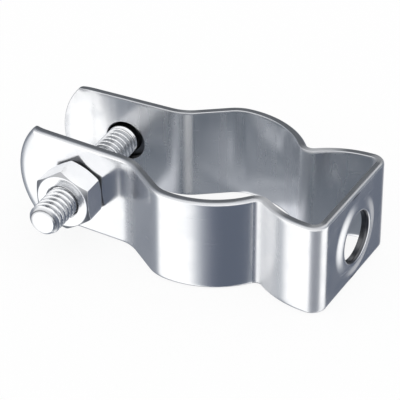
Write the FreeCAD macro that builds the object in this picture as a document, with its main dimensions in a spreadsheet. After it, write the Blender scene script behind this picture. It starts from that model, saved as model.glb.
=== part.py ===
import FreeCAD, Part
import os
from math import atan2, cos, radians, sin, sqrt, tan
import Sketcher
from FreeCAD import Vector

# A strap clip clamp for a round pipe. Millimetres. The origin lies on the pipe's axis at the
# middle of the strap's width, +Z runs up across that width, +X points from the pipe to the fixing
# plate, and the two ears with their bolt lie on the -X side.

doc = FreeCAD.newDocument("clip_clamp")

# Sizes

SIZES = [
    ("strap_width", 19.0, "width of the strip"),
    ("strap_thickness", 1.6, "thickness of the sheet"),
    ("pipe_diameter", 31.2, "outside diameter of the pipe that the bow holds"),
    ("plate_offset", 28.5, "pipe axis to the outer face of the fixing plate"),
    ("plate_width", 28.85, "outer width over the plate's two bends"),
    ("corner_radius", 3.0, "outer radius of the bends beside the plate"),
    ("leg_slope", 4.0, "degrees that a leg leans in behind its bend"),
    ("leg_straight", 1.05, "straight length behind the bend"),
    ("shoulder_radius", 17.9, "outer radius of the shoulder"),
    ("ramp_straight", 0.6, "straight length between shoulder and neck"),
    ("neck_radius", 1.3, "outer radius of the tight neck"),
    ("flank_straight", 0.85, "straight length between bow and waist"),
    ("waist_radius", 3.75, "outer radius of the bend towards the ear"),
    ("ear_slope", 2.6, "degrees that each ear leans in towards its tip"),
    ("ear_spacing", 20.4, "outer face to outer face of the ears at their holes"),
    ("ear_hole_offset", 25.85, "pipe axis to the ear holes"),
    ("ear_length", 39.4, "pipe axis to the tip of the ears"),
    ("tip_setback", 3.55, "how far the ear's corners lie behind its tip"),
    ("bolt_clearance", 1.75, "ear hole diameter less the bolt's"),
    ("hole_diameter", 9.9, "fixing hole in the plate"),
    ("boss_diameter", 16.2, "foot of the raised ring round the fixing hole"),
    ("boss_land", 0.7, "flat width round the fixing hole"),
    ("boss_height", 0.65, "how far the ring is pressed out of the plate"),
    ("bolt_diameter", 6.35, "thread's outside diameter"),
    ("bolt_length", 34.2, "length under the head"),
    ("bolt_shift", 0.6, "how far the bolt lies off the far hole's centre"),
    ("bolt_chamfer", 0.8, "chamfer at the bolt's end"),
    ("head_flats", 11.1, "across the head's flats"),
    ("head_height", 4.2, "height of the head"),
    ("head_turn", 12.0, "degrees the head is turned"),
    ("nut_flats", 11.1, "across the nut's flats"),
    ("nut_height", 5.6, "height of the nut"),
    ("nut_turn", -3.0, "degrees the nut is turned"),
    ("face_ratio", 0.95, "chamfer circle as a share of the width across flats"),
    ("chamfer_angle", 30.0, "degrees of the chamfer on head and nut"),
    ("thread_gap", 0.1, "nut bore diameter less the bolt's"),
]

sheet = doc.addObject("Spreadsheet::Sheet", "sizes")
for row, (name, value, note) in enumerate(SIZES, start=1):
    sheet.set("A%d" % row, name)
    sheet.set("B%d" % row, "%g" % value)
    sheet.set("C%d" % row, note)
    sheet.setAlias("B%d" % row, name)
doc.recompute()
size = {name: value for name, value, note in SIZES}

# Helpers for bodies and sketches

CUT_MARGIN = 4.0
START = 1
END = 2
CENTRE = 3


def origin_plane(body, role):
    """The body's own origin plane with the given role."""
    for feature in body.Origin.OriginFeatures:
        if feature.Role == role:
            return feature
    raise ValueError(role)


def add_sketch(body, role, name):
    """A sketch on one of the body's origin planes."""
    sketch = body.newObject("Sketcher::SketchObject", name)
    sketch.AttachmentSupport = (origin_plane(body, role), [""])
    sketch.MapMode = "FlatFace"
    return sketch


def datum(sketch, kind, args, name, expression, value):
    """A named constraint whose value follows an expression over the sheet."""
    index = sketch.addConstraint(Sketcher.Constraint(kind, *args, value))
    sketch.renameConstraint(index, name)
    sketch.setExpression("Constraints." + name, expression)


def tie(sketch, kind, *args):
    """A constraint without a value."""
    sketch.addConstraint(Sketcher.Constraint(kind, *args))


def flat(x, y):
    """A point in a sketch's plane."""
    return Vector(x, y, 0)


def add_line(sketch, start, end):
    """A straight edge."""
    return sketch.addGeometry(Part.LineSegment(start, end), False)


def add_arc(sketch, centre, start, end):
    """An arc that runs anticlockwise from start to end."""
    radius = (start - centre).Length
    circle = Part.Circle(centre, Vector(0, 0, 1), radius)
    first = atan2(start.y - centre.y, start.x - centre.x)
    last = atan2(end.y - centre.y, end.x - centre.x)
    if last < first:
        last += 2 * radians(180)
    return sketch.addGeometry(Part.ArcOfCircle(circle, first, last), False)


def polygon(sketch, points):
    """A closed run of straight edges, joined at their ends."""
    lines = []
    for index, point in enumerate(points):
        lines.append(add_line(sketch, flat(*point), flat(*points[(index + 1) % len(points)])))
    for index, line in enumerate(lines):
        tie(sketch, "Coincident", line, END, lines[(index + 1) % len(lines)], START)
    return lines


def place_vertex(sketch, line, name, across, up, point):
    """Sets the start of a line by its two distances from the sketch's origin."""
    datum(sketch, "DistanceX", (-1, START, line, START), name + "_x", across, point[0])
    datum(sketch, "DistanceY", (-1, START, line, START), name + "_y", up, point[1])


def add_hexagon(sketch, flats_expression, flats, turn_expression, turn):
    """A regular hexagon round the sketch's origin, by its width across flats."""
    radius = flats / 2 / cos(radians(30))
    corners = []
    for index in range(6):
        angle = radians(turn + 90 - 60 * index)
        corners.append((radius * cos(angle), radius * sin(angle)))
    lines = polygon(sketch, corners)
    ring = sketch.addGeometry(Part.Circle(flat(0, 0), Vector(0, 0, 1), radius), True)
    tie(sketch, "Coincident", ring, CENTRE, -1, START)
    for line in lines:
        tie(sketch, "PointOnObject", line, START, ring)
    for line in lines[1:]:
        tie(sketch, "Equal", lines[0], line)
    datum(sketch, "Radius", (ring,), "corner_circle", flats_expression + " / 2 / cos(30 deg)", radius)
    datum(sketch, "Angle", (lines[0],), "turn", "(" + turn_expression + " - 30) * 1 deg",
          radians(turn - 30))


# Plan of the strap's near half, worked out from the sizes so that the sketch starts solved

thick = size["strap_thickness"]
ring_outer = size["pipe_diameter"] / 2 + thick
neck = size["neck_radius"]
shoulder = size["shoulder_radius"]
waist = size["waist_radius"]
corner = size["corner_radius"]
lean = radians(size["leg_slope"])
ear_lean = radians(size["ear_slope"])
corner_centre = flat(size["plate_offset"] - corner, corner - size["plate_width"] / 2)
leg_out = flat(-sin(lean), -cos(lean))
leg_back = flat(-cos(lean), sin(lean))
shoulder_centre = corner_centre + leg_out * (corner - shoulder) + leg_back * size["leg_straight"]
neck_reach = ring_outer + neck
ramp_reach = sqrt((shoulder + neck) ** 2 + size["ramp_straight"] ** 2)
span = shoulder_centre.Length
along = (neck_reach ** 2 - ramp_reach ** 2 + span ** 2) / (2 * span)
aside = sqrt(neck_reach ** 2 - along ** 2)
toward = shoulder_centre * (1 / span)
neck_centre = toward * along + flat(toward.y, -toward.x) * aside
ear_out = flat(-sin(ear_lean), -cos(ear_lean))
ear_point = flat(-size["ear_hole_offset"], -size["ear_spacing"] / 2)
waist_line = ear_out.dot(ear_point) + waist
waist_reach = sqrt((ring_outer + waist) ** 2 + size["flank_straight"] ** 2)
ear_back = flat(-cos(ear_lean), sin(ear_lean))
waist_run = sqrt(waist_reach ** 2 - waist_line ** 2)
waist_centre = ear_out * waist_line + ear_back * waist_run


def half_points(depth):
    """The joints between the plan's lines and arcs, at a depth below the outer face."""
    shoulder_r = shoulder - depth
    neck_r = neck + depth
    link = neck_centre - shoulder_centre
    swing = atan2(size["ramp_straight"], shoulder + neck)
    angle = atan2(link.y, link.x) + swing
    ramp_out = flat(cos(angle), sin(angle))
    neck_in = neck_centre * (1 / neck_centre.Length)
    flank_swing = atan2(size["flank_straight"], ring_outer + waist)
    flank_angle = atan2(waist_centre.y, waist_centre.x) + flank_swing
    flank_out = flat(cos(flank_angle), sin(flank_angle))
    points = {}
    points["plate_mid"] = flat(size["plate_offset"] - depth, 0)
    points["corner_a"] = corner_centre + flat(corner - depth, 0)
    points["corner_b"] = corner_centre + leg_out * (corner - depth)
    points["shoulder_a"] = shoulder_centre + leg_out * shoulder_r
    points["shoulder_b"] = shoulder_centre + ramp_out * shoulder_r
    points["neck_a"] = neck_centre - ramp_out * neck_r
    points["neck_b"] = neck_centre - neck_in * neck_r
    points["flank_a"] = flank_out * (ring_outer - depth)
    points["waist_a"] = waist_centre - flank_out * (waist + depth)
    points["waist_b"] = waist_centre - ear_out * (waist + depth)
    ear = points["waist_b"]
    run = size["ear_length"] + ear.x
    points["ear_end"] = flat(-size["ear_length"], ear.y + run * tan(ear_lean))
    return points


def half_chain(sketch, depth):
    """One face of the near half, from the plate's middle to the ear's end, with tangent joints."""
    at = half_points(depth)
    chain = {}
    chain["plate"] = add_line(sketch, at["plate_mid"], at["corner_a"])
    chain["corner"] = add_arc(sketch, corner_centre, at["corner_b"], at["corner_a"])
    chain["leg"] = add_line(sketch, at["shoulder_a"], at["corner_b"])
    chain["shoulder"] = add_arc(sketch, shoulder_centre, at["shoulder_b"], at["shoulder_a"])
    chain["ramp"] = add_line(sketch, at["neck_a"], at["shoulder_b"])
    chain["neck"] = add_arc(sketch, neck_centre, at["neck_a"], at["neck_b"])
    chain["bow"] = add_arc(sketch, flat(0, 0), at["flank_a"], at["neck_b"])
    chain["flank"] = add_line(sketch, at["waist_a"], at["flank_a"])
    chain["waist"] = add_arc(sketch, waist_centre, at["waist_a"], at["waist_b"])
    chain["ear"] = add_line(sketch, at["ear_end"], at["waist_b"])
    tie(sketch, "Tangent", chain["plate"], END, chain["corner"], END)
    tie(sketch, "Tangent", chain["corner"], START, chain["leg"], END)
    tie(sketch, "Tangent", chain["leg"], START, chain["shoulder"], END)
    tie(sketch, "Tangent", chain["shoulder"], START, chain["ramp"], END)
    tie(sketch, "Tangent", chain["ramp"], START, chain["neck"], START)
    tie(sketch, "Tangent", chain["neck"], END, chain["bow"], END)
    tie(sketch, "Tangent", chain["bow"], START, chain["flank"], END)
    tie(sketch, "Tangent", chain["flank"], START, chain["waist"], START)
    tie(sketch, "Tangent", chain["waist"], END, chain["ear"], END)
    tie(sketch, "Vertical", chain["plate"])
    return chain


# Strap: one strip, bent

strap = doc.addObject("PartDesign::Body", "strap")
strap.Label = "strap"
plan = add_sketch(strap, "XY_Plane", "strap_plan")
outer = half_chain(plan, 0.0)
inner = half_chain(plan, thick)
outer_at = half_points(0.0)
inner_at = half_points(thick)

# outer face: every size of the bend line
datum(plan, "DistanceX", (-1, START, outer["plate"], START), "plate_offset", "sizes.plate_offset",
      size["plate_offset"])
tie(plan, "PointOnObject", outer["plate"], START, -1)
datum(plan, "Radius", (outer["corner"],), "corner_radius", "sizes.corner_radius", corner)
datum(plan, "DistanceY", (outer["corner"], CENTRE, -1, START), "plate_half",
      "sizes.plate_width / 2 - sizes.corner_radius", size["plate_width"] / 2 - corner)
datum(plan, "Angle", (outer["leg"],), "leg_slope", "-sizes.leg_slope * 1 deg", -lean)
leg_length = (outer_at["corner_b"] - outer_at["shoulder_a"]).Length
datum(plan, "Distance", (outer["leg"],), "leg_straight", "sizes.leg_straight", leg_length)
datum(plan, "Radius", (outer["shoulder"],), "shoulder_radius", "sizes.shoulder_radius", shoulder)
ramp_length = (outer_at["shoulder_b"] - outer_at["neck_a"]).Length
datum(plan, "Distance", (outer["ramp"],), "ramp_straight", "sizes.ramp_straight", ramp_length)
datum(plan, "Radius", (outer["neck"],), "neck_radius", "sizes.neck_radius", neck)
tie(plan, "Coincident", outer["bow"], CENTRE, -1, START)
datum(plan, "Radius", (outer["bow"],), "bow_radius",
      "sizes.pipe_diameter / 2 + sizes.strap_thickness", ring_outer)
flank_length = (outer_at["flank_a"] - outer_at["waist_a"]).Length
datum(plan, "Distance", (outer["flank"],), "flank_straight", "sizes.flank_straight", flank_length)
datum(plan, "Radius", (outer["waist"],), "waist_radius", "sizes.waist_radius", waist)
datum(plan, "Angle", (outer["ear"],), "ear_slope", "-sizes.ear_slope * 1 deg", -ear_lean)
ear_mark = plan.addGeometry(Part.Point(ear_point), True)
datum(plan, "DistanceX", (ear_mark, START, -1, START), "ear_mark_x", "sizes.ear_hole_offset",
      size["ear_hole_offset"])
datum(plan, "DistanceY", (ear_mark, START, -1, START), "ear_mark_y", "sizes.ear_spacing / 2",
      size["ear_spacing"] / 2)
tie(plan, "PointOnObject", ear_mark, START, outer["ear"])
datum(plan, "DistanceX", (outer["ear"], START, -1, START), "ear_length", "sizes.ear_length",
      size["ear_length"])

# inner face: one sheet thickness below the outer one
for bend in ("corner", "shoulder", "neck", "bow", "waist"):
    tie(plan, "Coincident", inner[bend], CENTRE, outer[bend], CENTRE)
datum(plan, "Radius", (inner["corner"],), "corner_inner",
      "sizes.corner_radius - sizes.strap_thickness", corner - thick)
datum(plan, "Radius", (inner["shoulder"],), "shoulder_inner",
      "sizes.shoulder_radius - sizes.strap_thickness", shoulder - thick)
datum(plan, "Radius", (inner["bow"],), "bow_inner", "sizes.pipe_diameter / 2", ring_outer - thick)
tie(plan, "Parallel", inner["flank"], outer["flank"])
tie(plan, "Parallel", inner["ear"], outer["ear"])

# the plate's middle and the ear's end close the outline
middle = add_line(plan, inner_at["plate_mid"], outer_at["plate_mid"])
tie(plan, "Coincident", middle, START, inner["plate"], START)
tie(plan, "Coincident", middle, END, outer["plate"], START)
tie(plan, "Horizontal", middle)
closing = add_line(plan, outer_at["ear_end"], inner_at["ear_end"])
tie(plan, "Coincident", closing, START, outer["ear"], START)
tie(plan, "Coincident", closing, END, inner["ear"], START)
tie(plan, "Vertical", closing)

near_half = strap.newObject("PartDesign::Pad", "near_half")
near_half.Profile = plan
near_half.Midplane = True
near_half.setExpression("Length", "sizes.strap_width")

both_halves = strap.newObject("PartDesign::Mirrored", "both_halves")
both_halves.Originals = [near_half]
both_halves.MirrorPlane = (origin_plane(strap, "XZ_Plane"), [""])
both_halves.Refine = True
strap.Tip = both_halves

# ear ends: a flat arc cut through both ears
tip_back = size["tip_setback"] - size["ear_length"]
tip_far = -size["ear_length"] - CUT_MARGIN
half_width = size["strap_width"] / 2
tip_radius = (size["tip_setback"] ** 2 + half_width ** 2) / (2 * size["tip_setback"])
tips = add_sketch(strap, "XZ_Plane", "ear_tips")
corner_high = flat(tip_back, half_width)
corner_low = flat(tip_back, -half_width)
over_high = half_width + CUT_MARGIN
rim = add_arc(tips, flat(tip_radius - size["ear_length"], 0), corner_high, corner_low)
high_in = add_line(tips, corner_high, flat(tip_back, over_high))
high_out = add_line(tips, flat(tip_back, over_high), flat(tip_far, over_high))
far_out = add_line(tips, flat(tip_far, over_high), flat(tip_far, -over_high))
low_out = add_line(tips, flat(tip_far, -over_high), flat(tip_back, -over_high))
low_in = add_line(tips, flat(tip_back, -over_high), corner_low)
for first, second in ((high_in, high_out), (high_out, far_out), (far_out, low_out), (low_out, low_in)):
    tie(tips, "Coincident", first, END, second, START)
tie(tips, "Coincident", rim, START, high_in, START)
tie(tips, "Coincident", rim, END, low_in, END)
tie(tips, "PointOnObject", rim, CENTRE, -1)
for line in (high_in, far_out, low_in):
    tie(tips, "Vertical", line)
for line in (high_out, low_out):
    tie(tips, "Horizontal", line)
datum(tips, "DistanceX", (rim, START, -1, START), "back", "sizes.ear_length - sizes.tip_setback",
      -tip_back)
datum(tips, "DistanceY", (-1, START, rim, START), "rim_high", "sizes.strap_width / 2", half_width)
datum(tips, "DistanceY", (rim, END, -1, START), "rim_low", "sizes.strap_width / 2", half_width)
datum(tips, "Radius", (rim,), "rim_radius",
      "(sizes.tip_setback ^ 2 + sizes.strap_width ^ 2 / 4) / (2 * sizes.tip_setback)", tip_radius)
datum(tips, "DistanceX", (far_out, START, -1, START), "far_edge",
      "sizes.ear_length + %g" % CUT_MARGIN, -tip_far)
datum(tips, "DistanceY", (-1, START, high_in, END), "high_edge",
      "sizes.strap_width / 2 + %g" % CUT_MARGIN, over_high)
datum(tips, "DistanceY", (low_in, START, -1, START), "low_edge",
      "sizes.strap_width / 2 + %g" % CUT_MARGIN, over_high)
tip_cut = strap.newObject("PartDesign::Pocket", "tip_cut")
tip_cut.Profile = tips
tip_cut.Type = 1
tip_cut.Midplane = True
strap.Tip = tip_cut

# ear holes: the bolt's diameter and its clearance
ear_hole = size["bolt_diameter"] + size["bolt_clearance"]
holes = add_sketch(strap, "XZ_Plane", "ear_holes")
hole_ring = holes.addGeometry(Part.Circle(flat(-size["ear_hole_offset"], 0), Vector(0, 0, 1),
                                          ear_hole / 2), False)
tie(holes, "PointOnObject", hole_ring, CENTRE, -1)
datum(holes, "DistanceX", (hole_ring, CENTRE, -1, START), "hole_x", "sizes.ear_hole_offset",
      size["ear_hole_offset"])
datum(holes, "Diameter", (hole_ring,), "hole_size", "sizes.bolt_diameter + sizes.bolt_clearance",
      ear_hole)
hole_cut = strap.newObject("PartDesign::Pocket", "hole_cut")
hole_cut.Profile = holes
hole_cut.Type = 1
hole_cut.Midplane = True
strap.Tip = hole_cut

# the ring pressed out of the plate round its hole: raised in front, hollow behind
face = size["plate_offset"]
foot = size["boss_diameter"] / 2
crest = size["hole_diameter"] / 2 + size["boss_land"]
rise = size["boss_height"]


def add_ring_section(name, inside, outside):
    """A trapezium on the X axis: the foot circle on one plane, the crest circle on the next.
    inside and outside hold an expression and its value for the two planes."""
    sketch = add_sketch(strap, "XZ_Plane", name)
    points = [(inside[1], 0), (inside[1], foot), (outside[1], crest), (outside[1], 0)]
    lines = polygon(sketch, points)
    crest_up = "sizes.hole_diameter / 2 + sizes.boss_land"
    place_vertex(sketch, lines[0], "back", inside[0], "0", points[0])
    place_vertex(sketch, lines[1], "foot", inside[0], "sizes.boss_diameter / 2", points[1])
    place_vertex(sketch, lines[2], "crest", outside[0], crest_up, points[2])
    place_vertex(sketch, lines[3], "front", outside[0], "0", points[3])
    return sketch


raised = add_ring_section("ring_front", ("sizes.plate_offset", face),
                          ("sizes.plate_offset + sizes.boss_height", face + rise))
boss = strap.newObject("PartDesign::Revolution", "boss")
boss.Profile = raised
boss.ReferenceAxis = (raised, ["H_Axis"])
boss.Angle = 360
strap.Tip = boss

hollow = add_ring_section(
    "ring_back", ("sizes.plate_offset - sizes.strap_thickness", face - thick),
    ("sizes.plate_offset - sizes.strap_thickness + sizes.boss_height", face - thick + rise))
dish = strap.newObject("PartDesign::Groove", "dish")
dish.Profile = hollow
dish.ReferenceAxis = (hollow, ["H_Axis"])
dish.Angle = 360
strap.Tip = dish

# the fixing hole runs along X through the plate only
fixing = add_sketch(strap, "YZ_Plane", "fixing_hole")
fixing_ring = fixing.addGeometry(Part.Circle(flat(0, 0), Vector(0, 0, 1), size["hole_diameter"] / 2),
                                 False)
tie(fixing, "Coincident", fixing_ring, CENTRE, -1, START)
datum(fixing, "Diameter", (fixing_ring,), "hole_size", "sizes.hole_diameter", size["hole_diameter"])
fixing_cut = strap.newObject("PartDesign::Pocket", "fixing_cut")
fixing_cut.Profile = fixing
fixing_cut.Type = 1
fixing_cut.Reversed = True
strap.Tip = fixing_cut

# Bolt and nut share one axis. Their own frames have it along Y, with the seat at the origin.


def add_hex_block(body, label, flats_name, turn_name, height_name, outward):
    """A hexagonal block from the body's XZ plane, with the chamfers of a head or nut.
    outward is 1 when the block grows along +Y."""
    flats = size[flats_name]
    height = size[height_name]
    hexagon = add_sketch(body, "XZ_Plane", label + "_hexagon")
    add_hexagon(hexagon, "sizes." + flats_name, flats, "sizes." + turn_name, size[turn_name])
    block = body.newObject("PartDesign::Pad", label + "_block")
    block.Profile = hexagon
    block.Reversed = outward > 0
    block.setExpression("Length", "sizes." + height_name)
    body.Tip = block
    reach = flats / 2 / cos(radians(30)) + CUT_MARGIN
    start = flats * size["face_ratio"] / 2
    slope = tan(radians(size["chamfer_angle"]))
    start_rule = "sizes.%s * sizes.face_ratio / 2" % flats_name
    reach_rule = "sizes.%s / 2 / cos(30 deg) + %g" % (flats_name, CUT_MARGIN)
    rise_rule = "(%s - %s) * tan(sizes.chamfer_angle * 1 deg)" % (reach_rule, start_rule)
    ends = [(label + "_front", outward * height, -outward, "%+d * sizes.%s" % (outward, height_name))]
    ends.append((label + "_back", 0.0, outward, "0"))
    for name, level, into, level_rule in ends:
        section = add_sketch(body, "XY_Plane", name + "_section")
        depth = into * (reach - start) * slope
        points = [(start, level), (reach, level), (reach, level + depth)]
        lines = polygon(section, points)
        depth_rule = "%s %s %s" % (level_rule, "+" if into > 0 else "-", rise_rule)
        place_vertex(section, lines[0], "inner", start_rule, level_rule, points[0])
        place_vertex(section, lines[1], "outer", reach_rule, level_rule, points[1])
        place_vertex(section, lines[2], "deep", reach_rule, depth_rule, points[2])
        groove = body.newObject("PartDesign::Groove", name + "_chamfer")
        groove.Profile = section
        groove.ReferenceAxis = (section, ["V_Axis"])
        groove.Angle = 360
        body.Tip = groove


bolt = doc.addObject("PartDesign::Body", "bolt")
bolt.Label = "bolt"
add_hex_block(bolt, "head", "head_flats", "head_turn", "head_height", 1)
radius = size["bolt_diameter"] / 2
reach = size["bolt_length"]
chamfer = size["bolt_chamfer"]
shank = add_sketch(bolt, "XY_Plane", "shank_section")
shank_points = [(0, CUT_MARGIN / 2), (radius, CUT_MARGIN / 2), (radius, chamfer - reach),
                (radius - chamfer, -reach), (0, -reach)]
shank_lines = polygon(shank, shank_points)
root = "%g" % (CUT_MARGIN / 2)
half = "sizes.bolt_diameter / 2"
place_vertex(shank, shank_lines[0], "root", "0", root, shank_points[0])
place_vertex(shank, shank_lines[1], "neck", half, root, shank_points[1])
place_vertex(shank, shank_lines[2], "edge", half, "sizes.bolt_chamfer - sizes.bolt_length",
             shank_points[2])
place_vertex(shank, shank_lines[3], "lip", half + " - sizes.bolt_chamfer", "-sizes.bolt_length",
             shank_points[3])
place_vertex(shank, shank_lines[4], "tip", "0", "-sizes.bolt_length", shank_points[4])
shaft = bolt.newObject("PartDesign::Revolution", "shaft")
shaft.Profile = shank
shaft.ReferenceAxis = (shank, ["V_Axis"])
shaft.Angle = 360
bolt.Tip = shaft

nut = doc.addObject("PartDesign::Body", "nut")
nut.Label = "nut"
add_hex_block(nut, "nut", "nut_flats", "nut_turn", "nut_height", -1)
bore = add_sketch(nut, "XZ_Plane", "nut_bore")
bore_diameter = size["bolt_diameter"] + size["thread_gap"]
bore_ring = bore.addGeometry(Part.Circle(flat(0, 0), Vector(0, 0, 1), bore_diameter / 2), False)
tie(bore, "Coincident", bore_ring, CENTRE, -1, START)
datum(bore, "Diameter", (bore_ring,), "bore_size", "sizes.bolt_diameter + sizes.thread_gap",
      bore_diameter)
bore_cut = nut.newObject("PartDesign::Pocket", "bore_cut")
bore_cut.Profile = bore
bore_cut.Type = 1
bore_cut.Midplane = True
nut.Tip = bore_cut

# The head seats flat on the far ear, so the bolt's axis leans with that ear. The nut's seat
# meets the near ear's outer face at the edge of its chamfer circle.
lean_rule = "sizes.ear_slope * 1 deg"
seat_x = "(-sizes.ear_hole_offset - sizes.bolt_shift * cos(%s))" % lean_rule
seat_y = "(sizes.ear_spacing / 2 - sizes.bolt_shift * sin(%s))" % lean_rule
travel = ("((sizes.nut_flats * sizes.face_ratio / 2 - sizes.bolt_shift) * sin(2 * %s)"
          " + sizes.ear_spacing * cos(%s)) / cos(2 * %s)" % (lean_rule, lean_rule, lean_rule))
bolt.Placement.Rotation = FreeCAD.Rotation(Vector(0, 0, 1), size["ear_slope"])
nut.Placement.Rotation = FreeCAD.Rotation(Vector(0, 0, 1), size["ear_slope"])
for piece, run in ((bolt, "0"), (nut, travel)):
    piece.setExpression("Placement.Rotation.Angle", lean_rule)
    piece.setExpression("Placement.Base.x", "%s + %s * sin(%s)" % (seat_x, run, lean_rule))
    piece.setExpression("Placement.Base.y", "%s - %s * cos(%s)" % (seat_y, run, lean_rule))

doc.recompute()

# Checks and export

for item in doc.Objects:
    if "Invalid" in item.State or "Error" in item.State:
        raise RuntimeError("%s did not build" % item.Name)

os.makedirs("parts", exist_ok=True)
for piece in (strap, bolt, nut):
    if piece.Shape.isNull() or not piece.Shape.isValid():
        raise RuntimeError("%s has no valid shape" % piece.Label)
    piece.Shape.exportStep("parts/%s.step" % piece.Label)
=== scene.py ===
from math import cos, pi, radians, sin, sqrt, tan

import bmesh
import bpy
import numpy as np
from mathutils import Matrix, Vector


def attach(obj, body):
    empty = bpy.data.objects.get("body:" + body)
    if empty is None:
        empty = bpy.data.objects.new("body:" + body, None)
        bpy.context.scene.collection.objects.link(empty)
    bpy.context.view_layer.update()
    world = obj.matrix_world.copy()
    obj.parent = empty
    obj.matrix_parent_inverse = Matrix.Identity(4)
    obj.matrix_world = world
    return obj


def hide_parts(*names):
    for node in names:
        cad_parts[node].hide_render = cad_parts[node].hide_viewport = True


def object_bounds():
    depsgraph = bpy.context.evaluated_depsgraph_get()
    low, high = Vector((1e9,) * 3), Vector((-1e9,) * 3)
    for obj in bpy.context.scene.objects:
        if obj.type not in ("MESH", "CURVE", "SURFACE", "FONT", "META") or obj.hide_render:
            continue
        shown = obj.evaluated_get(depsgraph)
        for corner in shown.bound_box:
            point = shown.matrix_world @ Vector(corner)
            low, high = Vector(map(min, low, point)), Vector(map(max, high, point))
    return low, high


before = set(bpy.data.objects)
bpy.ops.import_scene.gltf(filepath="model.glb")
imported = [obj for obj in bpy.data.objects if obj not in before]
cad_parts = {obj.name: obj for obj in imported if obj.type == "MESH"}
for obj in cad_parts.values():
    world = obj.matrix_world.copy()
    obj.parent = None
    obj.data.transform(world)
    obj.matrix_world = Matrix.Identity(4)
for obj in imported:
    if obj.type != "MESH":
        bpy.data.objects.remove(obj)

cad_low, cad_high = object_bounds()

# The clip clamp stands on its strap's lower edge, and a long lens looks down on it from its near
# right corner. Millimetres become Blender's metres wherever a length meets a mesh or an object.
MM = 0.001
AIM = Vector((-2.62, -3.08, 0.0))
TURN, TILT, DISTANCE = radians(28.73), radians(33.51), 454.78
LENS_PIXELS, FRAME_PIXELS, SENSOR = 2391.4, 400, 36.0

back = Vector((sin(TURN) * cos(TILT), -cos(TURN) * cos(TILT), sin(TILT)))
right = Vector((cos(TURN), sin(TURN), 0.0))
view = bpy.data.cameras.new("view")
view.sensor_width = SENSOR
view.lens = LENS_PIXELS * SENSOR / FRAME_PIXELS
view.clip_start, view.clip_end = 0.05, 20.0
camera = bpy.data.objects.new("view", view)
columns = Matrix((right, back.cross(right), back)).transposed()
camera.matrix_world = Matrix.Translation((AIM + back * DISTANCE) * MM) @ columns.to_4x4()
bpy.context.scene.collection.objects.link(camera)
bpy.context.scene.camera = camera
bpy.context.scene.view_settings.view_transform = "Standard"


# Studio: a white table under plain white light. What the bright zinc mirrors is a ring of white
# and grey cards, one row below eye level and one above it, and a round soft box high up behind
# the clamp.
class Wire:
    """An output of a node. Arithmetic on it adds Math nodes to the same tree."""

    def __init__(self, wiring, node, socket):
        self.wiring, self.node, self.socket = wiring, node, socket

    def out(self, name):
        """Another output of the same node."""
        return Wire(self.wiring, self.node, self.node.outputs[name])

    def maths(self, operation, *terms):
        return self.wiring.add("Math", {"operation": operation}, dict(enumerate(terms)))

    def __add__(self, other):
        return self.maths("ADD", self, other)

    def __sub__(self, other):
        return self.maths("SUBTRACT", self, other)

    def __rsub__(self, other):
        return self.maths("SUBTRACT", other, self)

    def __mul__(self, other):
        return self.maths("MULTIPLY", self, other)

    __radd__ = __add__
    __rmul__ = __mul__


class Wiring:
    """A node tree, and the one way of adding nodes to it."""

    def __init__(self, owner):
        owner.use_nodes = True
        self.tree = owner.node_tree
        self.tree.nodes.clear()

    def add(self, kind, settings=None, inputs=None):
        """Adds one node. settings are its own options, set first, and inputs are values or wires
        by the socket's name or number. Returns its first enabled output as a Wire."""
        node = self.tree.nodes.new("ShaderNode" + kind)
        for name, value in (settings or {}).items():
            if name == "stops":
                stops = node.color_ramp.elements
                while len(stops) < len(value):
                    stops.new(1.0)
                for stop, (place, tone) in zip(stops, value):
                    stop.position, stop.color = place, tone
            else:
                setattr(node, name, value)
        shown = [socket for socket in node.inputs if socket.enabled]
        for name, value in (inputs or {}).items():
            if isinstance(name, int):
                socket = shown[name]
            else:
                socket = next(socket for socket in shown if socket.name == name)
            if isinstance(value, Wire):
                self.tree.links.new(value.socket, socket)
            else:
                socket.default_value = value
        first = next((socket for socket in node.outputs if socket.enabled), None)
        return Wire(self, node, first)

    def step(self, value, low, high):
        """Goes smoothly from 0 at low to 1 at high."""
        return self.add("MapRange", {"interpolation_type": "SMOOTHSTEP"},
                        {0: value, 1: low, 2: high})

    def blend(self, share, first, second):
        """Mixes two colours."""
        return self.add("Mix", {"data_type": "RGBA"}, {0: share, 1: first, 2: second})


WHITE = (1.0, 1.0, 1.0, 1.0)
LIT_CARD = (1.22, 1.22, 1.22)
DARK_CARD = (0.115, 0.135, 0.18)
SHADED_CARD = (0.12, 0.14, 0.185)
BLACK_CARD = (0.13, 0.14, 0.155)
# (azimuth in degrees, colour) of the cards below eye level, and of those above it
LOW_CARDS = ((-162, (0.29, 0.31, 0.35)), (-151, (0.45, 0.48, 0.53)), (-142, LIT_CARD),
             (-94, LIT_CARD), (-84, (0.58, 0.61, 0.66)), (-76, (0.28, 0.30, 0.35)),
             (-66, (0.15, 0.17, 0.22)), (-56, DARK_CARD), (-20, DARK_CARD),
             (-12, (0.30, 0.33, 0.38)), (-4, (1.1, 1.1, 1.1)), (4, LIT_CARD), (36, LIT_CARD),
             (44, (0.56, 0.58, 0.62)), (51, SHADED_CARD), (70, SHADED_CARD),
             (80, (0.48, 0.49, 0.52)), (92, (0.50, 0.51, 0.54)), (110, (0.27, 0.30, 0.35)),
             (165, (0.27, 0.29, 0.33)))
HIGH_CARDS = ((-165, (0.50, 0.52, 0.56)), (-145, LIT_CARD), (-20, LIT_CARD),
              (20, (0.50, 0.53, 0.58)), (60, (0.25, 0.28, 0.32)), (90, BLACK_CARD),
              (132, BLACK_CARD), (160, (0.36, 0.38, 0.42)))
# half the height of the soft line where the two rows meet
CARD_SEAM = 0.12
# azimuth and height of the soft box, and the angles from its middle where it starts to fade and
# ends, all in degrees
SOFT_BOX = (58, 52, 18, 28)

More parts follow.
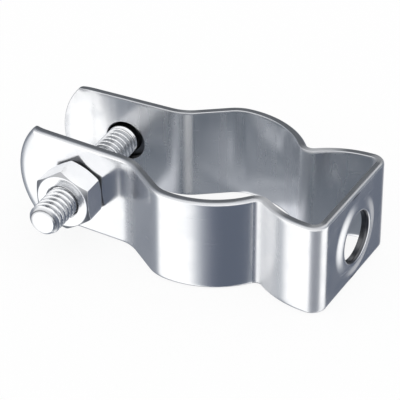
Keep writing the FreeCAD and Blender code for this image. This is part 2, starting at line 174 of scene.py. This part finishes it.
world = bpy.data.worlds.new("studio")
bpy.context.scene.world = world
studio = Wiring(world)
facing = studio.add("TexCoord").out("Generated")
axes = studio.add("SeparateXYZ", None, {0: facing})
azimuth = studio.add("Math", {"operation": "ARCTAN2"}, {0: axes.out("Y"), 1: axes})


def cards(row):
    """The ring of cards, read at the azimuth that a direction has."""
    stops = [((degrees + 180) / 360, (*colour, 1.0)) for degrees, colour in row]
    return studio.add("ValToRGB", {"stops": stops}, {0: azimuth * (0.5 / pi) + 0.5})


def round_box(bearing, height, inner, outer):
    """1 within inner degrees of one direction, and 0 past outer degrees: a smooth step of the
    cosine between the two directions."""
    a, h = radians(bearing), radians(height)
    near = axes * (cos(a) * cos(h)) + axes.out("Y") * (sin(a) * cos(h)) + axes.out("Z") * sin(h)
    return studio.step(near, cos(radians(outer)), cos(radians(inner)))


above = studio.step(axes.out("Z"), -CARD_SEAM, CARD_SEAM)
surround = studio.blend(above, cards(LOW_CARDS), cards(HIGH_CARDS))
surround = studio.blend(round_box(*SOFT_BOX), surround, (*LIT_CARD, 1.0))
plain = studio.add("Background", None, {"Color": WHITE, "Strength": 1.0})
mirrored = studio.add("Background", None, {"Color": surround, "Strength": 1.0})
ray = studio.add("LightPath")
seen = studio.add("MixShader", None, {0: ray.out("Is Glossy Ray"), 1: plain, 2: mirrored})
studio.add("OutputWorld", None, {"Surface": seen})

# the painted shade on the table between the clamp's walls, an emission that only glossy rays see:
# (x, half the room between the walls there, share of the lighter tone at the far wall's foot, share
# of it everywhere)
ROOM = ((-42.0, 0.0, 0.13, 0.0), (-37.0, 0.0, 0.13, 0.0), (-34.0, 8.3, 0.13, 0.0),
        (-27.0, 8.6, 0.13, 0.0), (-20.5, 8.9, 0.13, 0.06), (-18.5, 9.0, 0.13, 0.58),
        (-16.0, 9.6, 0.0, 0.58), (-13.5, 11.6, 0.0, 0.0), (-9.0, 13.9, 0.06, 0.14),
        (-6.6, 15.0, 0.06, 0.13), (-5.2, 15.4, 0.13, 0.04), (-4.2, 15.6, 0.26, 0.0),
        (-3.2, 15.7, 0.4, 0.0), (-1.0, 15.9, 0.32, 0.0), (3.0, 15.8, 0.4, 0.0),
        (6.0, 14.6, 1.0, 0.0), (9.0, 13.0, 1.0, 0.0), (12.0, 10.8, 0.45, 0.0),
        (15.5, 11.4, 0.1, 0.0), (26.0, 12.6, 0.13, 0.0), (27.4, 0.0, 0.13, 0.0))
ROOM_START, ROOM_LENGTH, ROOM_WIDEST = -42.0, 72.0, 20.0
SHADE_DARK = (0.13, 0.15, 0.18, 1.0)
SHADE_LIGHT = (0.80, 0.82, 0.87, 1.0)
# how far inside the walls the shade starts and is full, and from which Y to which Y it lightens
OUTLINE = (0.1, 0.7)
TOWARDS_FAR = (-10.0, 16.0)
TABLE_REACH, TABLE_GAP = 3000.0, 0.02
GLOW = 0.88

table_mesh = bpy.data.meshes.new("table")
reach, table_top = TABLE_REACH * MM, cad_low.z - TABLE_GAP * MM
table_mesh.from_pydata([(-reach, -reach, table_top), (reach, -reach, table_top),
                        (reach, reach, table_top), (-reach, reach, table_top)], [], [(0, 1, 2, 3)])
table = bpy.data.objects.new("table", table_mesh)
bpy.context.scene.collection.objects.link(table)
table_white = bpy.data.materials.new("table_white")
paint = Wiring(table_white)
ray = paint.add("LightPath")
matt = paint.add("BsdfDiffuse", None, {"Color": (0.96, 0.96, 0.96, 1.0)})
glow = paint.add("Emission", None, {"Color": WHITE, "Strength": 1.0})
soft = paint.add("MixShader", None, {0: ray * GLOW, 1: matt, 2: glow})
# what the metal mirrors of the table between the clamp's walls is painted shade, an emission that
# grows lighter towards the far wall's foot; past it the metal mirrors the cards
spot = paint.add("SeparateXYZ", None, {0: paint.add("TexCoord").out("Object")})
stops = [((x - ROOM_START) / ROOM_LENGTH, (half_room / ROOM_WIDEST, far, here, 1.0))
         for x, half_room, far, here in ROOM]
along_room = spot * (1 / ROOM_LENGTH / MM) - ROOM_START / ROOM_LENGTH
room = paint.add("ValToRGB", {"stops": stops}, {0: along_room})
room = paint.add("SeparateColor", None, {0: room})
aside = paint.add("Math", {"operation": "ABSOLUTE"}, {0: spot.out("Y")})
inside = paint.step(room * (ROOM_WIDEST * MM) - aside, OUTLINE[0] * MM, OUTLINE[1] * MM)
near_far = paint.step(spot.out("Y"), TOWARDS_FAR[0] * MM, TOWARDS_FAR[1] * MM)
lighter = near_far * room.out("Green") + room.out("Blue")
shade = paint.blend(lighter, SHADE_DARK, SHADE_LIGHT)
shaded = paint.add("Emission", None, {"Color": shade, "Strength": 1.0})
clear = paint.add("BsdfTransparent")
mirrored = paint.add("MixShader", None, {0: inside, 1: clear, 2: shaded})
surface = paint.add("MixShader", None, {0: ray.out("Is Glossy Ray"), 1: soft, 2: mirrored})
paint.add("OutputMaterial", None, {"Surface": surface})
table_mesh.materials.append(table_white)


# Strap: one strip of bright zinc-plated steel, 19 by 1.6 mm, blanked with its three holes and
# rounded ears, the ring pressed out of its middle, and then bent to its plan in one press.
WIDTH, THICK = 19.0, 1.6
HALF = WIDTH / 2
PLATE_FACE = 28.5
# (straight run before the bend, radius of the outer face and degrees turned; a hollow bend is minus)
BENDS = ((11.425, 3, 94.0), (1, 18.6, 30.621), (0.6, -1.3, 85.876), (0.0, 17.6, 55.955),
         (0.0, 8, 31.416), (6.546, -8, 33.516))
BEND_STEPS = (30, 22, 26, 48, 22, 22)
EAR_RUN = 23.332
EAR_HOLE_FROM_BEND = 9.768
TIP_RADIUS = 14.486
TIP_CENTRE = EAR_RUN - EAR_HOLE_FROM_BEND - TIP_RADIUS
TIP_CORNER, TIP_DRAWN, TIP_DROOP = 1.0, 2.0, 0.42
EAR_HOLE, PLATE_HOLE = 8.1, 9.9
RING_FOOT, RING_CREST, RING_RISE = 8.5, 5.5, 0.52
ROLLED_EDGE, BURRED_EDGE = 0.7, 0.2
# painted shade: how far the colour of the holes' cut walls is darkened
HOLE_SHADE = 1.8
ACROSS = 36


def bend(along, across, depth):
    """Puts points of the flat strip in place. Each bend turns the outward normal by run / radius,
    and moves the outer face by radius times the change of that normal; a point then lies its
    depth below the outer face. The near half has along above 0, and the far half mirrors it."""
    run = np.abs(along)
    normal, place, start = 1.0 + 0.0j, PLATE_FACE + 0.0j, 0.0
    faces_to = np.full(run.shape, normal)
    lies_at = place - 1j * run
    for straight, radius, degrees in BENDS:
        place, start = place - 1j * normal * straight, start + straight
        length = abs(radius) * radians(degrees)
        past = run > start
        swing = normal * np.exp(-1j * np.clip(run - start, 0.0, length) / radius)
        beyond = np.maximum(run - start - length, 0.0)
        faces_to = np.where(past, swing, faces_to)
        lies_at = np.where(past, place + radius * (swing - normal) - 1j * swing * beyond, lies_at)
        turned = normal * np.exp(-1j * length / radius)
        place, normal, start = place + radius * (turned - normal), turned, start + length
    point = lies_at - faces_to * depth
    return np.stack([point.real, np.where(along < 0, -point.imag, point.imag), across], -1) * MM


def grid_faces(rows, columns, wrapped):
    """Quads between neighbours of a grid that is numbered row by row."""
    i, j = np.meshgrid(np.arange(rows - 1), np.arange(columns - (not wrapped)), indexing="ij")
    k = (j + 1) % columns
    return np.stack([i * columns + j, i * columns + k, (i + 1) * columns + k,
                     (i + 1) * columns + j], -1).reshape(-1, 4)


class Skin:
    """Gathers grids of points, each with three notes for the material: two that place it on the
    piece's surface in metres, and one that says what is there, -1 for an inner face, 0 for an
    outer face, 1 for a cut edge, and on towards 2 as the colour darkens towards near black:
    painted shade in thread grooves, on seats and in holes, and a darker front chamfer on the nut."""

    def __init__(self):
        self.points, self.notes, self.quads, self.count = [], [], [], 0

    def add(self, points, notes, wrapped=False):
        rows, columns = points.shape[:2]
        self.points.append(points.reshape(-1, 3))
        self.notes.append(np.broadcast_to(notes, points.shape).reshape(-1, 3))
        self.quads.append(grid_faces(rows, columns, wrapped) + self.count)
        self.count += rows * columns

    def finish(self, name, material, sharp=40.0):
        """Joins the grids where they meet, turns the faces outwards and makes the object."""
        mesh = bpy.data.meshes.new(name)
        mesh.from_pydata(np.concatenate(self.points).tolist(), [],
                         np.concatenate(self.quads).tolist())
        notes = mesh.attributes.new("place", "FLOAT_VECTOR", "POINT")
        notes.data.foreach_set("vector", np.concatenate(self.notes).astype(np.float32).ravel())
        shell = bmesh.new()
        shell.from_mesh(mesh)
        bmesh.ops.remove_doubles(shell, verts=shell.verts, dist=2e-6)
        bmesh.ops.recalc_face_normals(shell, faces=shell.faces)
        shell.to_mesh(mesh)
        shell.free()
        mesh.shade_smooth()
        mesh.set_sharp_from_angle(angle=radians(sharp))
        mesh.materials.append(material)
        made = bpy.data.objects.new(name, mesh)
        bpy.context.scene.collection.objects.link(made)
        return made


def cut_edge(rolled, burred, wall_steps=4, round_steps=5):
    """Across a cut edge, from the outer face to the inner one: how far each point stands out from
    the cut, and its depth. A quarter circle rolls over, a straight wall follows, and a smaller
    quarter circle ends it."""
    a = np.linspace(0.0, pi / 2, round_steps + 1)
    wall = np.linspace(rolled, THICK - burred, wall_steps + 1)[1:-1]
    out = np.concatenate([rolled * (np.sin(a) - 1), np.zeros(len(wall)), burred * (np.cos(a) - 1)])
    depth = np.concatenate([rolled * (1 - np.cos(a)), wall, THICK - burred * (1 - np.sin(a))])
    return out, depth


def ring_rise(radius):
    """How far the pressed ring lifts the sheet at a radius from the fixing hole: a smooth ramp
    from nothing at its foot to its full rise at its crest."""
    t = np.clip((RING_FOOT - radius) / (RING_FOOT - RING_CREST), 0.0, 1.0)
    return RING_RISE * t * t * (3 - 2 * t)


# the plain run between plate and ear, with one closed section carried along it
edge_out, edge_depth = cut_edge(ROLLED_EDGE, BURRED_EDGE)
edge_cut = (np.abs(edge_out) < ROLLED_EDGE / 2) * 1.0
edge_cut[[0, -1]] = 0.0
face_out = np.linspace(-1, 1, ACROSS + 1)[1:-1] * (HALF - ROLLED_EDGE)
face_in = np.linspace(1, -1, ACROSS + 1)[1:-1] * (HALF - BURRED_EDGE)
section_across = np.concatenate([face_out, HALF + edge_out, face_in, (-HALF - edge_out)[::-1]])
section_depth = np.concatenate([0 * face_out, edge_depth, 0 * face_in + THICK, edge_depth[::-1]])
is_cut = np.concatenate([0 * face_out, edge_cut, 0 * face_in - 1, edge_cut[::-1]])
stations, mark = [np.array([BENDS[0][0]])], 0.0
for (straight, radius, degrees), steps in zip(BENDS, BEND_STEPS):
    if straight and mark:
        stations.append(mark + np.linspace(0.0, straight, 4)[1:])
    length = abs(radius) * radians(degrees)
    stations.append(mark + straight + np.linspace(0.0, length, steps + 1)[1:])
    mark += straight + length
stations = np.concatenate(stations)
bend_end = mark

strap_skin = Skin()
for side in (1, -1):
    along, across = np.meshgrid(side * stations, section_across, indexing="ij")
    depth = np.broadcast_to(section_depth, along.shape)
    cut = np.broadcast_to(is_cut, along.shape)
    strap_skin.add(bend(along, across, depth), np.stack([along * MM, across * MM, cut], -1), True)


def tip_droop(x, y):
    """How far the ear's end droops inwards, as blanking draws it over: a parabola over the last
    part before the tip's arc."""
    beyond = np.hypot(x - TIP_CENTRE, y) - TIP_RADIUS + TIP_DRAWN
    return TIP_DROOP * np.clip(beyond / TIP_DRAWN, 0.0, 1.2) ** 2 * (x > 0)


def holed_patch(skin, centre, side, rim, out_ways, is_free, runs, hole, circles):
    """A flat part of the strip round a hole. Face points lie on circles round the hole and then
    on straight lines from the last circle to the rim; the free rim and the hole get cut edges.
    circles is the last circle's radius and how many there are."""
    angles = np.arctan2(rim[:, 1], rim[:, 0])
    rays = np.stack([np.cos(angles), np.sin(angles)], -1)

    def put(spots, depth, cut, wrapped=True):
        """Bends one grid of spots, lifted where the ring is pressed out."""
        if centre == 0.0:
            lift = ring_rise(np.hypot(spots[..., 0], spots[..., 1]))
        else:
            lift = -tip_droop(spots[..., 0], spots[..., 1])
        along = side * (centre + spots[..., 0])
        notes = np.stack([along * MM, spots[..., 1] * MM, along * 0 + cut], -1)
        skin.add(bend(along, spots[..., 1], depth - lift), notes, wrapped)

    for inset, depth, cut in ((ROLLED_EDGE, 0.0, 0.0), (BURRED_EDGE, THICK, -1.0)):
        shrink = np.array([1.0, (HALF - inset) / HALF])
        limit = np.where(is_free[:, None], rim - out_ways * inset, rim * shrink)
        first = hole / 2 + inset
        rows = [rays * radius for radius in np.linspace(first, circles[0], circles[1])]
        rows += [rows[-1] + (limit - rows[-1]) * t for t in np.linspace(0.0, 1.0, 9)[1:]]
        put(np.array(rows), depth, cut)
    rows = rays[None] * (hole / 2 - edge_out)[:, None, None]
    # the hole's cut wall gets painted shade
    put(rows, edge_depth[:, None], edge_cut[:, None] * HOLE_SHADE)
    for run in runs:
        rows = rim[run][None] + out_ways[run][None] * edge_out[:, None, None]
        put(rows, edge_depth[:, None], edge_cut[:, None], False)


def ear_rim():
    """The ear's outline from the bend's end round the tip and back, then across the strip:
    two straight edges, a flat arc at the tip, and a small arc at each corner."""
    corner_up = HALF - TIP_CORNER
    corner_on = TIP_CENTRE + sqrt((TIP_RADIUS - TIP_CORNER) ** 2 - corner_up ** 2)
    reach = np.arctan2(corner_up, corner_on - TIP_CENTRE)
    edge = np.linspace(-EAR_HOLE_FROM_BEND, corner_on, 27)
    a = np.linspace(pi / 2, reach, 8)[1:-1]
    corner = np.stack([corner_on + TIP_CORNER * np.cos(a), corner_up + TIP_CORNER * np.sin(a)], -1)
    b = np.linspace(reach, -reach, 41)
    tip = np.stack([TIP_CENTRE + TIP_RADIUS * np.cos(b), TIP_RADIUS * np.sin(b)], -1)
    top = np.stack([edge, edge * 0 + HALF], -1)
    upper = np.concatenate([top, corner])
    up_ways = np.concatenate([top * 0 + (0, 1), np.stack([np.cos(a), np.sin(a)], -1)])
    flip = np.array([1.0, -1.0])
    free = np.concatenate([upper, tip, upper[::-1] * flip])
    ways = np.concatenate([up_ways, np.stack([np.cos(b), np.sin(b)], -1), up_ways[::-1] * flip])
    joint = np.linspace(-HALF, HALF, ACROSS + 1)[1:-1]
    rim = np.concatenate([free, np.stack([joint * 0 - EAR_HOLE_FROM_BEND, joint], -1)])
    ways = np.concatenate([ways, np.zeros((len(joint), 2))])
    return rim, ways, np.arange(len(rim)) < len(free), [slice(0, len(free))]


def plate_rim():
    """The plate's outline between its two bends: long edge, joint, long edge, joint."""
    edge = np.linspace(-BENDS[0][0], BENDS[0][0], 47)
    joint = np.linspace(HALF, -HALF, ACROSS + 1)[1:-1]
    top = np.stack([edge, edge * 0 + HALF], -1)
    end = np.stack([joint * 0 + BENDS[0][0], joint], -1)
    rim = np.concatenate([top, end, -top, -end])
    up = top * 0 + (0, 1)
    ways = np.concatenate([up, end * 0, -up, end * 0])
    is_free = np.abs(ways[:, 1]) > 0.5
    half = len(top) + len(end)
    return rim, ways, is_free, [slice(0, len(top)), slice(half, half + len(top))]


ear_middle = bend_end + EAR_HOLE_FROM_BEND
for side in (1, -1):
    holed_patch(strap_skin, ear_middle, side, *ear_rim(), EAR_HOLE, (EAR_HOLE / 2 + 0.9, 3))
holed_patch(strap_skin, 0.0, 1, *plate_rim(), PLATE_HOLE, (RING_FOOT + 0.5, 26))

ZINC_LIGHT = (0.90, 0.905, 0.915, 1.0)
ZINC_DULL = (0.80, 0.815, 0.84, 1.0)
ZINC_CUT = (0.55, 0.56, 0.58, 1.0)
# near black that painted shade in grooves, seats and holes, and the nut's front chamfer, blend
# towards
ZINC_DARKENED = (0.06, 0.062, 0.068, 1.0)


def zinc(name, grain, worked=((0.0, 0.0, 0.0), (1.0, 0.0, 0.0))):
    """Bright zinc plate over steel. Soft clouds and fine lines along the grain vary its colour and
    gloss, marks of the press roughen the inner faces most, and cut edges are rougher and duller.
    grain turns the place notes into the two directions along and across the rolling lines, and
    worked is a row like PRESSED."""
    material = bpy.data.materials.new(name)
    nodes = Wiring(material)
    place = nodes.add("Attribute", {"attribute_name": "place"}).out("Vector")
    spot = nodes.add("TexCoord").out("Object")
    notes = nodes.add("SeparateXYZ", None, {0: place})
    cut = nodes.add("Clamp", None, {0: notes.out("Z")})
    run = nodes.add("Math", {"operation": "ABSOLUTE"}, {0: notes})
    inner = nodes.step(notes.out("Z"), -0.1, -0.9)
    stops = [(at, (outside, inside, 0.0, 1.0)) for at, outside, inside in worked]
    press = nodes.add("ValToRGB", {"stops": stops}, {0: run * 10.0})
    press = nodes.add("SeparateColor", None, {0: press})
    worn = press * (1.0 - inner) + press.out("Green") * inner
    drawn = nodes.add("Mapping", None, {"Vector": place, "Scale": (330.0, 14.0, 0.0)})
    drawn = nodes.add("TexNoise", None, {"Vector": drawn, "Scale": 1.0, "Detail": 2.0})
    drawn = nodes.step(drawn, 0.42, 0.66) * (0.15 + inner)
    lines = nodes.add("Mapping", None, {"Vector": place, "Scale": grain})
    rolled = nodes.add("TexNoise", None, {"Vector": lines, "Scale": 1.0, "Detail": 5.0,
                                          "Roughness": 0.62})
    clouds = nodes.add("TexNoise", None, {"Vector": spot, "Scale": 170.0, "Detail": 3.0})
    pits = nodes.add("TexNoise", None, {"Vector": spot, "Scale": 2600.0, "Detail": 2.0})
    marks = nodes.step(rolled, 0.60, 0.74)
    dull = nodes.step(clouds, 0.40, 0.66)
    colour = nodes.blend(dull * 0.55 + marks * 0.35, ZINC_LIGHT, ZINC_DULL)
    colour = nodes.blend(cut * 0.8, colour, ZINC_CUT)
    # painted shade: notes past 1 darken the colour towards near black in thread grooves, on seats
    # and in holes; the nut's front chamfer is darkened the same way
    colour = nodes.blend(nodes.step(notes.out("Z"), 1.0, 2.0), colour, ZINC_DARKENED)
    rough = 0.16 + drawn * 0.09 + dull * 0.05 + marks * 0.06 + rolled * 0.05
    rough = rough + cut * 0.10 + worn * 0.25
    bump = nodes.add("Bump", None, {"Strength": 0.12, "Distance": 0.00002,
                                    "Height": rolled + pits * 0.35})
    metallic = 1.0 - worn * 0.45
    metal = nodes.add("BsdfPrincipled", None, {"Base Color": colour, "Metallic": metallic,
                                               "Roughness": rough, "Normal": bump})
    nodes.add("OutputMaterial", None, {"Surface": metal})
    return material


# (run along the strip in units of 100 mm, how far the press dulled the outer face, and the inner)
PRESSED = ((0.0, 0.0, 0.0), (0.112, 0.0, 0.0), (0.128, 0.45, 0.0), (0.150, 0.45, 0.0),
           (0.170, 0.0, 0.0), (0.215, 0.0, 0.0), (0.245, 0.8, 0.0), (0.275, 1.0, 0.0),
           (0.283, 1.0, 0.1), (0.298, 0.0, 0.0), (0.570, 0.0, 0.0), (0.587, 0.2, 0.1),
           (0.591, 0.25, 1.0), (0.598, 0.3, 1.0), (0.604, 0.2, 0.1), (0.618, 0.0, 0.0))
STRIP_GRAIN = (60.0, 2400.0, 0.0)
strap_finish = zinc("strap_finish", STRIP_GRAIN, PRESSED)
strap = strap_skin.finish("strap_sheet", strap_finish)
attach(strap, "root")
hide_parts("strap")


# Bolt: a quarter-inch hex bolt of zinc-plated steel through both ears, threaded almost up to its
# forged head, which bears on the far ear. Its axis leans with that ear.
BOLT_SEAT = np.array([-26.449, 10.173, 0.0])
BOLT_LEAN = radians(2.6)
BOLT_RADIUS, BOLT_LENGTH = 3.175, 34.2
PITCH = 1.27
THREAD_DEPTH = 0.76
THREAD_START, BOLT_CHAMFER = 1.6, 0.8
HEAD_FLATS, HEAD_HEIGHT, HEAD_TURN = 11.1, 4.2, radians(12.0)
AROUND = 96
# head and nut: radius of the upright corners and of the chamfer's outer edge, chamfer circle
# against the flats, half the width of the round inside the chamfer, rows of points on the disc
HEX_CORNER, HEX_EDGE, CHAMFER_CIRCLE, BLEND, DISC_ROWS = 0.35, 0.12, 0.95, 0.15, 9
EVEN_GRAIN = (900.0, 900.0, 0.0)
# painted shade: how far the colour darkens in the thread's grooves, and on seats against the ears
GROOVE_SHADE, SEAT_SHADE = 1.5, 1.7
SEAT_ROWS, NECK_ROWS = 14, 4
AXIS = np.array([sin(BOLT_LEAN), -cos(BOLT_LEAN), 0.0])
SIDE = np.array([cos(BOLT_LEAN), sin(BOLT_LEAN), 0.0])


def on_axis(radius, angle, run):
    """A point at a radius and an angle round the bolt's axis, and a run from the head's seat
    towards the nut. Angle 0 points along the ear and a quarter turn points up."""
    way = np.cos(angle)[..., None] * SIDE + np.sin(angle)[..., None] * np.array([0.0, 0.0, 1.0])
    return (BOLT_SEAT + radius[..., None] * way + run[..., None] * AXIS) * MM


def thread(angle, run):
    """Depth of the thread's groove below the crest: a right-handed helix of the pitch, whose
    flanks slope at about 60 degrees to the axis between a flat crest and a narrow flat root."""
    phase = np.abs((run / PITCH - angle / (2 * pi)) % 1.0 - 0.5) * 2
    flank = np.clip((phase - 0.14) / 0.68, 0.0, 1.0)
    return THREAD_DEPTH * (1 - np.sqrt(1e-4 + flank ** 2) * 0.5 - flank * flank * (1.5 - flank))


def hexagon(angle, flats, corner):
    """Radius of a hexagon with rounded corners: flat / cos near each flat's middle, and a small
    circle round each corner."""
    off = np.abs((angle + pi / 6) % (pi / 3) - pi / 6)
    centre = (flats / 2 - corner) / cos(pi / 6)
    flat_end = np.arctan((flats / 2 - corner) * tan(pi / 6) / (flats / 2))
    aside = pi / 6 - off
    across = np.sqrt(np.maximum(corner ** 2 - (centre * np.sin(aside)) ** 2, 0))
    at_corner = centre * np.cos(aside) + across
    return np.where(off < flat_end, flats / 2 / np.cos(off), at_corner)


def hex_end(angle, flats, inside):
    """One end of a head or nut, from an inner radius out to its side: a flat disc, a 30 degree
    cone past the chamfer circle, and a small round into the side. Gives radius and drop."""
    side = hexagon(angle, flats, HEX_CORNER)
    disc = flats * CHAMFER_CIRCLE / 2
    slope = tan(pi / 6)
    radii = [np.full(angle.shape, r) for r in np.linspace(inside, disc - BLEND, DISC_ROWS)]
    drops = [np.zeros(angle.shape)] * DISC_ROWS
    for t in (0.25, 0.5, 0.75, 1.0):
        radii.append(np.full(angle.shape, disc - BLEND + 2 * BLEND * t))
        drops.append(np.full(angle.shape, BLEND * slope * t * t))
    first, last = radii[-1], side - HEX_EDGE * (1 - cos(pi / 3))
    for t in (0.33, 0.66, 1.0):
        radii.append(first + (last - first) * t)
        drops.append((radii[-1] - disc) * slope)
    base = (last - disc) * slope
    for lean in np.radians((45.0, 30.0, 15.0, 0.0)):
        radii.append(side - HEX_EDGE * (1 - cos(lean)))
        drops.append(base + HEX_EDGE * (sin(pi / 3) - sin(lean)))
    side_start = drops[-1]
    for further in (0.08, 0.3):
        radii.append(side)
        drops.append(side_start + further)
    return np.array(radii), np.array(drops)


ring = np.linspace(0.0, 2 * pi, AROUND, endpoint=False)
head_radius, head_drop = hex_end(ring - HEAD_TURN, HEAD_FLATS, 0.0)
under_radius, under_drop = hex_end(ring - HEAD_TURN, HEAD_FLATS, BOLT_RADIUS + 0.25)
threaded_run = np.arange(THREAD_START, BOLT_LENGTH, PITCH / 24)
shank_run = np.concatenate([[0.25, 0.7, 1.1], threaded_run, [BOLT_LENGTH]])
angles, runs = np.meshgrid(ring, shank_run)
deep = thread(angles, runs) * np.clip((runs - THREAD_START) / 1.0, 0.0, 1.0)
limit = BOLT_RADIUS - np.maximum(runs - (BOLT_LENGTH - BOLT_CHAMFER), 0.0)
shank = np.minimum(BOLT_RADIUS - deep, limit)
end_radius = np.linspace(1.0, 0.0, 6)[1:, None] * shank[-1]
bolt_radius = np.concatenate([head_radius, under_radius[::-1], shank, end_radius])
bolt_run = np.concatenate([head_drop - HEAD_HEIGHT, -under_drop[::-1], runs,
                           np.full(end_radius.shape, BOLT_LENGTH)])
bolt_angle = np.broadcast_to(ring, bolt_radius.shape)
bolt_skin = Skin()
# painted shade darkens the thread's grooves, the head's seat and the plain neck before the thread
seat = len(head_radius) + len(under_radius)
darkening = bolt_run * 0
darkening[seat:seat + len(shank)] = GROOVE_SHADE * deep / THREAD_DEPTH
darkening[seat - SEAT_ROWS:seat + NECK_ROWS] = SEAT_SHADE
bolt_notes = np.stack([bolt_angle * BOLT_RADIUS * MM, bolt_run * MM, darkening], -1)
bolt_skin.add(on_axis(bolt_radius, bolt_angle, bolt_run), bolt_notes, True)

bolt_finish = zinc("bolt_finish", EVEN_GRAIN)
bolt = bolt_skin.finish("hex_bolt", bolt_finish, sharp=30.0)
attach(bolt, "root")
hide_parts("bolt")


# Nut: a hex nut of the same plated steel, chamfered on both sides, screwed up against the near
# ear. Its bore is countersunk at both ends and threaded between.
NUT_SEAT, NUT_HEIGHT = 20.888, 5.6
NUT_FLATS, NUT_TURN = 11.1, radians(4.0)
SINK_RADIUS, SINK_DEPTH = 3.55, 0.95
SLACK = 0.06
# rows of points whose colour is darkened: painted shade on the face and chamfer towards the ear, and
# a darker front chamfer
UNDER_ROWS, CHAMFER_ROWS, CHAMFER_DARKENING = slice(4, 18), slice(27, 32), 1.4

front_radius, front_drop = hex_end(ring - NUT_TURN, NUT_FLATS, SINK_RADIUS)
bore_run = np.concatenate([[0.0], np.arange(0.05, NUT_HEIGHT, PITCH / 24), [NUT_HEIGHT]])[::-1]
angles, runs = np.meshgrid(ring, NUT_SEAT + bore_run)
groove = BOLT_RADIUS + SLACK - thread(angles, runs)
into = np.minimum(bore_run, NUT_HEIGHT - bore_run)[:, None]
sink = SINK_RADIUS - into * (SINK_RADIUS - BOLT_RADIUS + THREAD_DEPTH) / SINK_DEPTH
bore = np.maximum(groove, sink)
nut_radius = np.concatenate([front_radius, front_radius[::-1], bore])
nut_run = np.concatenate([NUT_SEAT + front_drop, NUT_SEAT + NUT_HEIGHT - front_drop[::-1], runs])
nut_angle = np.broadcast_to(ring, nut_radius.shape)
nut_skin = Skin()
darkening = nut_run * 0
darkening[UNDER_ROWS] = SEAT_SHADE
darkening[CHAMFER_ROWS] = CHAMFER_DARKENING
nut_notes = np.stack([nut_angle * BOLT_RADIUS * MM, nut_run * MM, darkening], -1)
nut_skin.add(on_axis(nut_radius, nut_angle, nut_run), nut_notes, True)
nut_skin.add(on_axis(nut_radius[[-1, 0]], nut_angle[[-1, 0]], nut_run[[-1, 0]]),
             nut_notes[[-1, 0]], True)

nut_finish = zinc("nut_finish", EVEN_GRAIN)
nut = nut_skin.finish("hex_nut", nut_finish, sharp=30.0)
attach(nut, "root")
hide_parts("nut")
